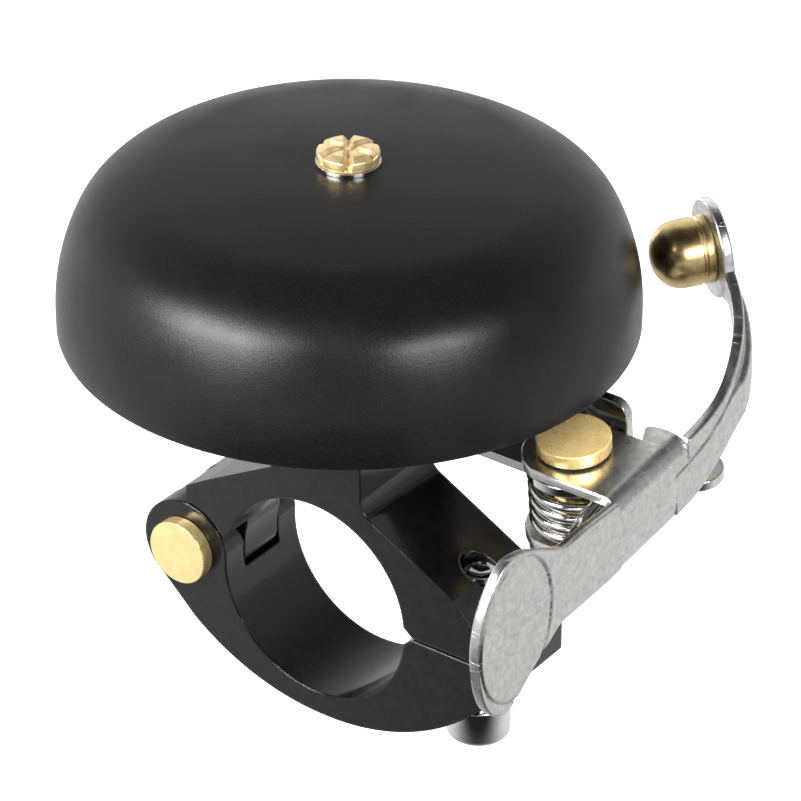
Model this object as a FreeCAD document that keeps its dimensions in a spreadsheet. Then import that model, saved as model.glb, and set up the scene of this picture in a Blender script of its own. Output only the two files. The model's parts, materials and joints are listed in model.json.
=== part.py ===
import FreeCAD, Part
import math
import os
import Sketcher

# Bicycle bell with a spring striker, on a hinged handlebar clamp. Millimetres.
# Origin: the middle of the handlebar bore. +Y runs along the handlebar, +Z up through
# the dome, +X towards the striker lever.

SIZES = {
    # handlebar clamp
    "bar_radius": 11.1, "clamp_width": 11.6, "part_gap": 0.3, "hinge_wall": 5.1,
    "ear_radius": 5.25, "tongue_width": 5.4, "hinge_gap": 0.15, "pin_radius": 1.6,
    "pin_head_radius": 3.47, "pin_head_height": 1.5, "run_gap": 0.04, "end_wall": 5.9,
    "bore_chamfer": 1.0,
    "belly_x": 0.7, "belly_wall": 2.5, "belly_radius": 25.9,
    "neck_half": 5.5, "neck_fillet": 1.6, "shoulder_wall": 1.0, "shoulder_end": 6.4,
    # clamp screw
    "screw_wall": 5.0, "screw_radius": 1.95, "screw_slot": 0.45, "screw_head_radius": 3.2,
    "screw_head_height": 4.0, "screw_seat_drop": 8.4, "socket_radius": 1.75, "socket_depth": 2.2,
    "screw_tip": 6.7,
    # bell dome
    "dome_x": 0.4, "rim_rise": 5.5, "rim_radius": 28.25, "dome_wall": 2.0, "skirt": 2.1,
    "flank_radius": 19.8, "flank_turn": 26, "bend_radius": 7.6, "bend_turn": 62,
    "crown_radius": 14.0, "crown_turn": 83,
    # stud stack in the middle of the dome
    "stud_radius": 2.0, "stud_gap": 0.1, "stud_depth": 9.0, "cushion_radius": 5.0,
    "cushion_height": 0.8, "spacer_radius": 3.5, "nut_height": 3.2, "nut_flats": 7.0,
    "lock_height": 0.9, "lock_radius": 3.7, "crown_nut_radius": 3.05, "crown_nut_height": 1.5,
    "crown_washer_radius": 3.15, "crown_washer_height": 0.3,
    # striker pivot: its place, and the lean of its pin towards -Y
    "rim_inset": 1.95, "pivot_rise": 13.2, "pivot_tilt": 5.8,
    # bracket
    "plate": 1.0, "plate_front": 3.0, "wall_v": 5.5, "tab_rise": 2.5, "stop_u": 2.3,
    "twist_start": 12.0, "twist_end": 17.0, "tab_length": 11.0,
    "tail_u": 4.0, "tail_v": 14.5, "tail_radius": 2.8, "tail_neck": 1.4,
    # striker lever
    "sheet": 1.1, "lever_play": 0.1, "channel": 9.6, "flange_radius": 5.0, "web_u": 8.3,
    "channel_bend": 2.0, "strike_reach": 9.067, "arm_radius": 16.1, "arm_turn": 51.2,
    "arm_sweep": 29.5, "disc_radius": 5.0, "disc_w": 6.4,
    "paddle_v": -21.4, "paddle_w": -3.3, "paddle_long": 8.2, "paddle_short": 6.2,
    "paddle_lean": -22, "wing_v": 7.2,
    # hammer
    "hammer_radius": 3.4, "hammer_length": 5.8, "nose_radius": 3.0, "rivet_radius": 1.3,
    "rivet_head": 2.3,
    # lever pin, bush and torsion spring
    "lever_pin_radius": 2.0, "lever_head_radius": 3.6, "lever_head_height": 1.35,
    "washer_height": 0.25, "washer_radius": 3.3, "bush_radius": 3.1, "coil_radius": 4.05,
    "wire_radius": 0.53, "coil_turns": 4, "leg_reach": 9.5, "leg_drop": 3.2,
    "leg_stub": 2.4, "clip_radius": 3.6, "clip_height": 0.8,
}

doc = FreeCAD.newDocument("BicycleBell")
sheet = doc.addObject("Spreadsheet::Sheet", "Sizes")
for row, (alias, number) in enumerate(SIZES.items(), start=1):
    sheet.set("A%d" % row, alias)
    sheet.set("B%d" % row, str(number))
    sheet.setAlias("B%d" % row, alias)
doc.recompute()


class Size:
    """A length or angle worked out from the sheet: its value now and its expression."""

    def __init__(self, value, text):
        self.value = value
        self.text = text

    def join(self, other, sign, value):
        return Size(value, "(%s %s %s)" % (self.text, sign, size(other).text))

    def __add__(self, other):
        return self.join(other, "+", self.value + size(other).value)

    def __sub__(self, other):
        return self.join(other, "-", self.value - size(other).value)

    def __mul__(self, other):
        return self.join(other, "*", self.value * size(other).value)

    def __truediv__(self, other):
        return self.join(other, "/", self.value / size(other).value)

    def __neg__(self):
        return size(0) - self

    def __radd__(self, other):
        return size(other) + self

    def __rsub__(self, other):
        return size(other) - self

    def __rmul__(self, other):
        return size(other) * self


def size(number):
    return number if isinstance(number, Size) else Size(float(number), repr(float(number)))


def named(alias):
    return Size(float(sheet.get(alias)), "Sizes.%s" % alias)


def sin(angle):
    return Size(math.sin(math.radians(angle.value)), "sin(%s)" % angle.text)


def cos(angle):
    return Size(math.cos(math.radians(angle.value)), "cos(%s)" % angle.text)


def root(square):
    return Size(math.sqrt(square.value), "sqrt(%s)" % square.text)


S = {alias: named(alias) for alias in SIZES}
# The hinge, the screw and the clamp's outside keep their walls from the bore. The pivot
# stands above the bore and just inside the rim, and the rim hangs above the pivot.
S["hinge_x"] = -(S["bar_radius"] + S["hinge_wall"])
S["screw_x"] = S["bar_radius"] + S["screw_wall"]
S["clamp_end_x"] = S["screw_x"] + S["end_wall"]
S["belly_drop"] = S["bar_radius"] + S["belly_wall"]
S["shoulder_rise"] = S["bar_radius"] + S["shoulder_wall"]
S["pivot_z"] = S["bar_radius"] + S["pivot_rise"]
S["rim_z"] = S["pivot_z"] + S["rim_rise"]
S["pivot_x"] = S["dome_x"] + S["rim_radius"] - S["rim_inset"]
# The arm is as long as puts the middle of its disc strike_reach outside the rim.
disc_u = S["web_u"] - S["arm_radius"] * (1 - cos(S["arm_turn"])) - S["disc_radius"] * sin(S["arm_turn"])
disc_x = S["rim_radius"] - S["rim_inset"] + disc_u
disc_away = S["rim_radius"] + S["strike_reach"]
S["arm_start"] = (root(disc_away * disc_away - disc_x * disc_x)
                  - S["arm_radius"] * sin(S["arm_turn"]) - S["disc_radius"] * cos(S["arm_turn"]))


def bind(thing, path, amount):
    thing.setExpression(path, size(amount).text)


def place(thing, x=0, y=0, z=0, tilt=None):
    """Puts a document object at x, y, z, leaned about X by tilt."""
    if tilt is not None:
        thing.Placement.Rotation = FreeCAD.Rotation(FreeCAD.Vector(1, 0, 0), tilt.value)
        thing.setExpression("Placement.Rotation.Angle", tilt.text)
    for axis, amount in (("x", x), ("y", y), ("z", z)):
        bind(thing, "Placement.Base.%s" % axis, amount)
    return thing


def at_pivot(thing):
    return place(thing, S["pivot_x"], 0, S["pivot_z"], S["pivot_tilt"])


def sketch_on(body, plane, offset=0):
    """An empty sketch on one of the body's own planes, moved along its normal."""
    drawing = body.newObject("Sketcher::SketchObject", body.Name + "_sketch")
    base = [item for item in body.Origin.OriginFeatures if item.Role == plane][0]
    drawing.AttachmentSupport = (base, [""])
    drawing.MapMode = "FlatFace"
    bind(drawing, "AttachmentOffset.Base.z", offset)
    return drawing


def arc_between(start, end, radius, turn):
    """The minor arc from start to end, turning left (1) or right (-1)."""
    chord = end - start
    half = chord.Length / 2
    rise = math.sqrt(max(radius * radius - half * half, 0.0))
    left = FreeCAD.Vector(-chord.y, chord.x, 0).normalize()
    centre = start + chord * 0.5 + left * (rise * turn)
    middle = centre - left * (radius * turn)
    return Part.Arc(start, middle, end)


def outline(drawing, corners):
    """Draws a closed outline. A corner is (x, y), or (x, y, radius, turn) to start an arc."""
    spots = [FreeCAD.Vector(size(c[0]).value, size(c[1]).value, 0) for c in corners]
    edges = []
    for index, corner in enumerate(corners):
        start, end = spots[index], spots[(index + 1) % len(spots)]
        if len(corner) == 4:
            edge = arc_between(start, end, size(corner[2]).value, corner[3])
        else:
            edge = Part.LineSegment(start, end)
        edges.append(drawing.addGeometry(edge))
    for index, corner in enumerate(corners):
        following = edges[(index + 1) % len(edges)]
        # A left arc starts at its point 1, and a right arc, stored the other way, at 2.
        right = len(corner) == 4 and corner[3] < 0
        begin, finish = (2, 1) if right else (1, 2)
        after = corners[(index + 1) % len(corners)]
        next_begin = 2 if len(after) == 4 and after[3] < 0 else 1
        drawing.addConstraint(
            Sketcher.Constraint("Coincident", edges[index], finish, following, next_begin)
        )
        for kind, amount in (("DistanceX", corner[0]), ("DistanceY", corner[1])):
            number = drawing.addConstraint(
                Sketcher.Constraint(kind, -1, 1, edges[index], begin, size(amount).value)
            )
            bind(drawing, "Constraints[%d]" % number, amount)
        if len(corner) == 4:
            number = drawing.addConstraint(
                Sketcher.Constraint("Radius", edges[index], size(corner[2]).value)
            )
            bind(drawing, "Constraints[%d]" % number, corner[2])
    return drawing


def ring(drawing, x, y, radius):
    """Draws a circle."""
    centre = FreeCAD.Vector(size(x).value, size(y).value, 0)
    circle = Part.Circle(centre, FreeCAD.Vector(0, 0, 1), size(radius).value)
    index = drawing.addGeometry(circle)
    for kind, amount in (("DistanceX", x), ("DistanceY", y)):
        number = drawing.addConstraint(
            Sketcher.Constraint(kind, -1, 1, index, 3, size(amount).value)
        )
        bind(drawing, "Constraints[%d]" % number, amount)
    number = drawing.addConstraint(Sketcher.Constraint("Radius", index, size(radius).value))
    bind(drawing, "Constraints[%d]" % number, radius)
    return drawing


def body(label):
    made = doc.addObject("PartDesign::Body", label)
    made.Label = label
    return made


def pad(owner, drawing, length, symmetric=False):
    made = owner.newObject("PartDesign::Pad", owner.Name + "_pad")
    made.Profile = drawing
    bind(made, "Length", length)
    made.SideType = "Symmetric" if symmetric else "One side"
    return made


def pocket(owner, drawing, length, symmetric=False):
    """Cuts the drawing out of the body, and stops if nothing was cut away."""
    doc.recompute()
    before = owner.Shape.Volume
    made = owner.newObject("PartDesign::Pocket", owner.Name + "_pocket")
    made.Profile = drawing
    bind(made, "Length", length)
    made.SideType = "Symmetric" if symmetric else "One side"
    doc.recompute()
    if owner.Shape.Volume > before - 1e-6:
        raise ValueError("a pocket in %s cut nothing" % owner.Label)
    return made


def turned(label, corners):
    """A body turned about its own Z axis from a half outline in X and Z."""
    made = body(label)
    spin = made.newObject("PartDesign::Revolution", label + "_turn")
    drawing = outline(sketch_on(made, "XZ_Plane"), corners)
    spin.Profile = drawing
    spin.ReferenceAxis = (drawing, ["V_Axis"])
    spin.Angle = 360
    return made


def tube(label, inner, outer, low, high):
    return turned(label, [(inner, low), (outer, low), (outer, high), (inner, high)])


def rod(label, radius, length, x, y, z, axis=(0, 0, 1)):
    """A plain cylinder from x, y, z along axis."""
    made = doc.addObject("Part::Cylinder", label)
    bind(made, "Radius", radius)
    bind(made, "Height", length)
    made.Placement.Rotation = FreeCAD.Rotation(FreeCAD.Vector(0, 0, 1), FreeCAD.Vector(*axis))
    return place(made, x, y, z)


def cut(label, base, tool):
    made = doc.addObject("Part::Cut", label)
    made.Base = base
    made.Tool = tool
    return made


def fuse(label, shapes):
    made = doc.addObject("Part::MultiFuse", label)
    made.Shapes = shapes
    return made


def common(label, shapes):
    made = doc.addObject("Part::MultiCommon", label)
    made.Shapes = shapes
    return made


NODES = []


def node(thing, label):
    """Keeps a finished piece under the name of its node."""
    thing.Label = label
    NODES.append(thing)
    return thing


# Heights along the lever pin, measured from the top of the lever's upper flange.
plate_top = -(S["sheet"] + S["lever_play"])
plate_under = plate_top - S["plate"]
lower_top = S["sheet"] - S["channel"]
leg_top = -(S["channel"] + S["lever_play"])
leg_under = leg_top - S["plate"]
# Heights of the middle stack above the handlebar's axis.
plate_z = S["pivot_z"] + plate_top
neck_z = plate_z - S["plate"]


def dome_arcs(inset):
    """The dome's half outline at a depth of inset: rim, flank, bend and crown corners."""
    flank = S["flank_radius"] - inset
    bend = S["bend_radius"] - inset
    crown = S["crown_radius"] - inset
    turn_a, turn_b, turn_c = S["flank_turn"], S["bend_turn"], S["crown_turn"]
    flank_x = S["rim_radius"] - S["flank_radius"]
    flank_z = S["skirt"]
    bend_x = flank_x + (S["flank_radius"] - S["bend_radius"]) * cos(turn_a)
    bend_z = flank_z + (S["flank_radius"] - S["bend_radius"]) * sin(turn_a)
    crown_x = bend_x + (S["bend_radius"] - S["crown_radius"]) * cos(turn_b)
    crown_z = bend_z + (S["bend_radius"] - S["crown_radius"]) * sin(turn_b)
    # The cap's centre lies on the axis, on the line where the crown's arc ends.
    full = (crown_x + S["crown_radius"] * cos(turn_c)) / cos(turn_c)
    top_z = crown_z + (S["crown_radius"] - full) * sin(turn_c)
    hole = S["stud_radius"] + S["stud_gap"]
    cap = full - inset
    return {
        "rim": (S["rim_radius"] - inset, size(0)),
        "flank": (flank_x + flank, flank_z, flank),
        "bend": (flank_x + flank * cos(turn_a), flank_z + flank * sin(turn_a), bend),
        "crown": (bend_x + bend * cos(turn_b), bend_z + bend * sin(turn_b), crown),
        "cap": (crown_x + crown * cos(turn_c), crown_z + crown * sin(turn_c), cap),
        "hole": (hole, top_z + root(cap * cap - hole * hole)),
        "cushion": top_z + root(cap * cap - S["cushion_radius"] * S["cushion_radius"]),
    }


def make_dome():
    out = dome_arcs(size(0))
    ins = dome_arcs(S["dome_wall"])
    corners = [out["rim"]]
    corners += [out[name] + (1,) for name in ("flank", "bend", "crown", "cap")]
    corners += [out["hole"], ins["hole"] + (ins["cap"][2], -1)]
    for here, radius_from in (("cap", "crown"), ("crown", "bend"), ("bend", "flank")):
        corners.append(ins[here][:2] + (ins[radius_from][2], -1))
    corners += [ins["flank"][:2], ins["rim"]]
    made = turned("dome", corners)
    place(made, S["dome_x"], 0, S["rim_z"])
    node(made, "dome")
    return out["hole"][1], ins["cushion"]


dome_top, dome_roof = make_dome()


def stack(made):
    return node(place(made, S["dome_x"], 0, 0), made.Label)


def make_middle_stack():
    """The stud from the clamp's neck to the crown, and what is threaded on it."""
    stud = S["stud_radius"]
    clear = stud + S["stud_gap"] / 2
    roof = S["rim_z"] + dome_roof
    top = S["rim_z"] + dome_top + 0.02
    nut_low = plate_z + S["lock_height"]
    nut_high = nut_low + S["nut_height"]
    cushion_low = roof - S["cushion_height"] - 0.02
    washer_high = top + S["crown_washer_height"]
    stud_top = washer_high + S["crown_nut_height"] * 0.6
    stud_low = neck_z - S["stud_depth"]
    stack(turned("bell_stud", [
        (0, stud_low), (stud - 0.4, stud_low), (stud, stud_low + 0.4),
        (stud, stud_top - 0.3), (stud - 0.3, stud_top), (0, stud_top),
    ]))
    stack(tube("lock_washer", clear, S["lock_radius"], plate_z + 0.02, nut_low - 0.02))
    nut = body("bracket_nut")
    drawing = sketch_on(nut, "XY_Plane", nut_low)
    flat = S["nut_flats"] / cos(size(30)) / 2
    outline(drawing, [(flat * cos(size(60 * k)), flat * sin(size(60 * k))) for k in range(6)])
    ring(drawing, 0, 0, clear)
    pad(nut, drawing, S["nut_height"])
    stack(nut)
    stack(tube("dome_spacer", clear, S["spacer_radius"], nut_high + 0.02, cushion_low - 0.02))
    stack(tube("dome_cushion", clear, S["cushion_radius"], cushion_low, roof - 0.02))
    stack(tube("crown_washer", clear, S["crown_washer_radius"], top, washer_high))
    radius, height = S["crown_nut_radius"], S["crown_nut_height"]
    low = washer_high + 0.02
    flower = turned("crown_nut", [
        (0, stud_top + 0.05), (clear, stud_top + 0.05), (clear, low), (radius, low),
        (radius, low + height * 0.6), (radius * 0.8, low + height), (0.6, low + height),
        (0, low + height * 0.85),
    ])
    # Six V grooves between the petals.
    drawing = sketch_on(flower, "YZ_Plane", 0.9)
    outline(drawing, [
        (-0.45, low + height + 0.1), (0, low + height * 0.45), (0.45, low + height + 0.1),
    ])
    doc.recompute()
    groove = flower.newObject("PartDesign::Pocket", "petal_groove")
    groove.Profile = drawing
    bind(groove, "Length", radius)
    groove.Reversed = True
    doc.recompute()
    around = flower.newObject("PartDesign::PolarPattern", "petal_grooves")
    around.Originals = [groove]
    around.Axis = (flower.Origin.OriginFeatures[2], [""])
    around.Angle = 360
    around.Occurrences = 6
    flower.Tip = around
    stack(flower)


make_middle_stack()


def make_upper_clamp():
    """The upper half: neck, sloping shoulders, bore, and the tongue in the hinge."""
    made = body("upper_clamp_block")
    half_gap = S["part_gap"] / 2
    bore = S["bar_radius"]
    right = S["dome_x"] + S["neck_half"]
    left = S["dome_x"] - S["neck_half"]
    rise = S["shoulder_rise"]
    fillet = S["neck_fillet"]
    clear = S["ear_radius"] + S["part_gap"]
    chamfer = S["bore_chamfer"]
    drawing = sketch_on(made, "XZ_Plane")
    outline(drawing, [
        (bore + chamfer, half_gap), (S["clamp_end_x"], half_gap),
        (S["clamp_end_x"], half_gap + 1.1),
        (S["clamp_end_x"] - 5.0, S["shoulder_end"]),
        (right + fillet, rise - 0.6, fillet * 1.6, -1), (right, rise + fillet),
        (right, neck_z), (left, neck_z), (left, rise + 1.5),
        (S["hinge_x"] + 3.0, rise - 3.0), (S["hinge_x"] + 0.3, clear + 1.9),
        (S["hinge_x"], clear, clear, -1), (S["hinge_x"] + clear * sin(size(62)),
                                          clear * cos(size(62))),
        (-root(bore * bore - 16.0), 4.0, bore, -1), (0, bore, bore, -1),
        (root(bore * bore - chamfer * chamfer), chamfer),
    ])
    pad(made, drawing, S["clamp_width"], symmetric=True)
    tongue = body("upper_clamp_tongue")
    drawing = sketch_on(tongue, "XZ_Plane")
    reach = S["ear_radius"] - 0.1
    hinge = S["hinge_x"]
    outline(drawing, [
        (hinge, reach, reach, 1), (hinge - reach, 0, reach, 1), (hinge, -reach, reach, 1),
        (hinge + reach, 0), (hinge + reach + 0.5, 4.4), (hinge + 6.0, 7.6),
        (hinge + 3.0, rise - 3.0), (hinge + 0.3, clear + 1.9),
    ])
    pad(tongue, drawing, S["tongue_width"], symmetric=True)
    joined = fuse("upper_clamp_joined", [made, tongue])
    tools = [
        rod("upper_bore", bore, S["clamp_width"] * 2, 0, S["clamp_width"], 0, (0, -1, 0)),
        rod("upper_hinge_hole", S["pin_radius"] + S["run_gap"], S["clamp_width"] * 2,
            hinge, S["clamp_width"], 0, (0, -1, 0)),
        rod("upper_screw_hole", S["screw_radius"] + S["run_gap"], 20, S["screw_x"], 0, -1),
        rod("upper_stud_hole", S["stud_radius"] + S["run_gap"], S["stud_depth"] + 1,
            S["dome_x"], 0, neck_z - S["stud_depth"] - 0.1),
    ]
    return node(cut("upper_clamp", joined, fuse("upper_clamp_holes", tools)), "upper_clamp")


make_upper_clamp()


def make_lower_clamp():
    """The lower half: two hinge ears, the belly, and the seat of the clamp screw."""
    made = body("lower_clamp_block")
    half_gap = S["part_gap"] / 2
    hinge, ear, bore = S["hinge_x"], S["ear_radius"], S["bar_radius"]
    centre_z = S["belly_radius"] - S["belly_drop"]
    chamfer = S["bore_chamfer"]
    end_x, end_z = S["clamp_end_x"] - 2.6, size(-6.0)
    tangent_x, tangent_z = hinge - ear * sin(size(35)), -ear * cos(size(35))
    drawing = sketch_on(made, "XZ_Plane")
    outline(drawing, [
        (root(bore * bore - chamfer * chamfer), -chamfer, bore, -1),
        (bore * cos(size(45)), -bore * sin(size(45)), bore, -1),
        (-bore * cos(size(45)), -bore * sin(size(45)), bore, -1),
        (-root(bore * bore - 0.25), -0.5),
        (hinge + ear, 0, ear, 1), (hinge, ear, ear, 1), (hinge - ear, 0, ear, 1),
        (tangent_x, tangent_z),
        (S["belly_x"] - S["belly_radius"] * sin(size(38)),
         centre_z - S["belly_radius"] * cos(size(38)), S["belly_radius"], 1),
        (S["belly_x"], -S["belly_drop"], S["belly_radius"], 1),
        (end_x, end_z), (S["clamp_end_x"], -3.4), (S["clamp_end_x"], -half_gap),
        (bore + chamfer, -half_gap),
    ])
    pad(made, drawing, S["clamp_width"], symmetric=True)
    seat = S["screw_seat_drop"]
    head = S["screw_head_radius"]
    slot = S["clamp_width"]
    gap_half = S["tongue_width"] / 2 + S["hinge_gap"]
    clear = ear + S["part_gap"]
    slot_body = body("tongue_slot")
    drawing = sketch_on(slot_body, "XZ_Plane")
    outline(drawing, [
        (hinge - clear, ear * 2), (hinge - clear, 0, clear, 1), (hinge, -clear, clear, 1),
        (hinge + clear * cos(size(20)), -clear * sin(size(20))), (hinge + clear * 2, ear * 2),
    ])
    pad(slot_body, drawing, gap_half * 2, symmetric=True)
    bored = rod("lower_bore", bore, slot * 2, 0, slot, 0, (0, -1, 0))
    side = S["screw_slot"]
    tools = [
        slot_body, bored,
        rod("lower_hinge_hole", S["pin_radius"] + 0.02, slot * 2, hinge, slot, 0, (0, -1, 0)),
        rod("screw_way_a", S["screw_radius"] + 0.35, 20, S["screw_x"] - side, 0, -15),
        rod("screw_way_b", S["screw_radius"] + 0.35, 20, S["screw_x"] + side, 0, -15),
        rod("screw_seat", head + 0.5, 12, S["screw_x"], 0, -(seat + 12)),
    ]
    return node(cut("lower_clamp", made, fuse("lower_clamp_cuts", tools)), "lower_clamp")


make_lower_clamp()


def make_clamp_hardware():
    half = S["clamp_width"] / 2
    radius, head = S["pin_radius"], S["pin_head_radius"]
    pin = turned("hinge_pin", [
        (0, -half - 0.3), (radius - 0.3, -half - 0.3), (radius, -half), (radius, half + 0.02),
        (head, half + 0.02), (head, half + S["pin_head_height"] - 0.15),
        (head - 0.15, half + S["pin_head_height"]), (0, half + S["pin_head_height"]),
    ])
    place(pin, S["hinge_x"], 0, 0, size(90))
    node(pin, "hinge_pin")
    seat, shank = -(S["screw_seat_drop"] + 0.03), S["screw_radius"]
    low = seat - S["screw_head_height"]
    wide = S["screw_head_radius"]
    screw = turned("clamp_screw", [
        (0, low), (wide - 0.35, low), (wide, low + 0.35), (wide, seat), (shank, seat),
        (shank, S["screw_tip"] - 0.4), (shank - 0.4, S["screw_tip"]), (0, S["screw_tip"]),
    ])
    drawing = sketch_on(screw, "XY_Plane", low)
    socket = S["socket_radius"]
    outline(drawing, [
        (socket * cos(size(60 * k)), socket * sin(size(60 * k))) for k in range(6)
    ])
    pocket(screw, drawing, S["socket_depth"] * 2, symmetric=True)
    place(screw, S["screw_x"], 0, 0)
    node(screw, "clamp_screw")


make_clamp_hardware()


def plate_piece(label, corners, low, thickness):
    """A flat plate in the pivot's frame, from its plan outline."""
    made = body(label)
    pad(made, outline(sketch_on(made, "XY_Plane", low), corners), thickness)
    return at_pivot(made)


def make_bracket():
    """The steel bracket: plate on the neck, twist, upper and lower legs, wall and tab."""
    reach = S["flange_radius"] - 0.3
    front, wall, plate = S["plate_front"], S["wall_v"], S["plate"]
    inner_u = S["twist_end"] - S["pivot_x"]
    back = wall + plate
    upper = plate_piece("bracket_upper", [
        (inner_u, -front), (-root(reach * reach - front * front), -front, reach, 1),
        (0, -reach, reach, 1), (reach, 0, reach, 1), (0, reach), (0, back), (inner_u, back),
    ], plate_under, plate)
    tail_u, tail_v, tail, neck = S["tail_u"], S["tail_v"], S["tail_radius"], S["tail_neck"]
    tail_start = tail_v - root(tail * tail - neck * neck)
    lower = plate_piece("bracket_lower", [
        (-reach, 0, reach, 1), (0, -reach, reach, 1), (reach, 0), (tail_u + neck, wall),
        (tail_u + neck, tail_start, tail, 1), (tail_u, tail_v + tail, tail, 1),
        (tail_u - neck, tail_start), (tail_u - neck, back), (-reach, back),
    ], leg_under, plate)
    back_wall = body("bracket_wall")
    drawing = sketch_on(back_wall, "XZ_Plane", -back)
    stop, tab = S["stop_u"], S["tab_rise"]
    outline(drawing, [
        (-reach, leg_under), (reach * cos(size(60)), leg_under),
        (reach * cos(size(60)), lower_top), (stop, lower_top + 1.5), (stop, tab - 1.5, 1.5, 1),
        (stop - 1.5, tab), (stop - S["tab_length"], tab),
        (stop - S["tab_length"], plate_under), (-reach, plate_under),
    ])
    pad(back_wall, drawing, plate)
    at_pivot(back_wall)
    # The plate on the neck is level, and twists to the pivot's lean beyond it.
    start, end = S["twist_start"], S["twist_end"]
    level = doc.addObject("Part::Box", "bracket_level")
    bind(level, "Length", start + S["neck_half"] + 1.5 - S["dome_x"])
    bind(level, "Width", front + back)
    bind(level, "Height", plate)
    place(level, S["dome_x"] - S["neck_half"] - 1.5, -front, neck_z)
    doc.recompute()
    lean = math.radians(S["pivot_tilt"].value)
    sections = []
    for x, angle, z in ((start, 0.0, plate_z), (end, lean, S["pivot_z"])):
        top = 0.0 if angle == 0.0 else plate_top.value
        ends = []
        for v, w in ((-front.value, 0), (back.value, 0), (back.value, -1), (-front.value, -1)):
            w = top + w * plate.value
            ends.append(FreeCAD.Vector(
                x.value, v * math.cos(angle) - w * math.sin(angle),
                z.value + v * math.sin(angle) + w * math.cos(angle)))
        sections.append(Part.makePolygon(ends + ends[:1]))
    twist = doc.addObject("Part::Feature", "bracket_twist")
    twist.Shape = Part.makeLoft(sections, True, True)
    joined = fuse("bracket_joined", [level, twist, upper, back_wall, lower])
    stud_hole = rod("bracket_stud_hole", S["stud_radius"] + S["stud_gap"], 6,
                    S["dome_x"], 0, neck_z - 3)
    pin_drill = body("bracket_pin_drill")
    hole = ring(sketch_on(pin_drill, "XY_Plane"), 0, 0, S["lever_pin_radius"] + S["run_gap"])
    pad(pin_drill, hole, 30, symmetric=True)
    at_pivot(pin_drill)
    return node(cut("bracket", joined, fuse("bracket_holes", [stud_hole, pin_drill])), "bracket")


make_bracket()


def arm_point(inset, past):
    """A plan point where the arm's bend ends, inset into the sheet and past along it."""
    radius, turn = S["arm_radius"], S["arm_turn"]
    u = S["web_u"] - radius + (radius - inset) * cos(turn) - past * sin(turn)
    v = S["arm_start"] + (radius - inset) * sin(turn) + past * cos(turn)
    return u, v


def at_hammer(thing):
    """Stands a turned piece on the middle of the disc, its axis across the sheet."""
    u, v = arm_point(size(0), S["disc_radius"])
    tilt = FreeCAD.Rotation(FreeCAD.Vector(1, 0, 0), S["pivot_tilt"].value)
    across = FreeCAD.Rotation(FreeCAD.Vector(0, 0, 1), S["arm_turn"].value)
    lay = FreeCAD.Rotation(FreeCAD.Vector(0, 1, 0), -90)
    lean = S["pivot_tilt"]
    w = S["disc_w"]
    thing.Placement.Rotation = tilt.multiply(across).multiply(lay)
    bind(thing, "Placement.Base.x", S["pivot_x"] + u)
    bind(thing, "Placement.Base.y", v * cos(lean) - w * sin(lean))
    bind(thing, "Placement.Base.z", S["pivot_z"] + v * sin(lean) + w * cos(lean))
    return thing


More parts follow.
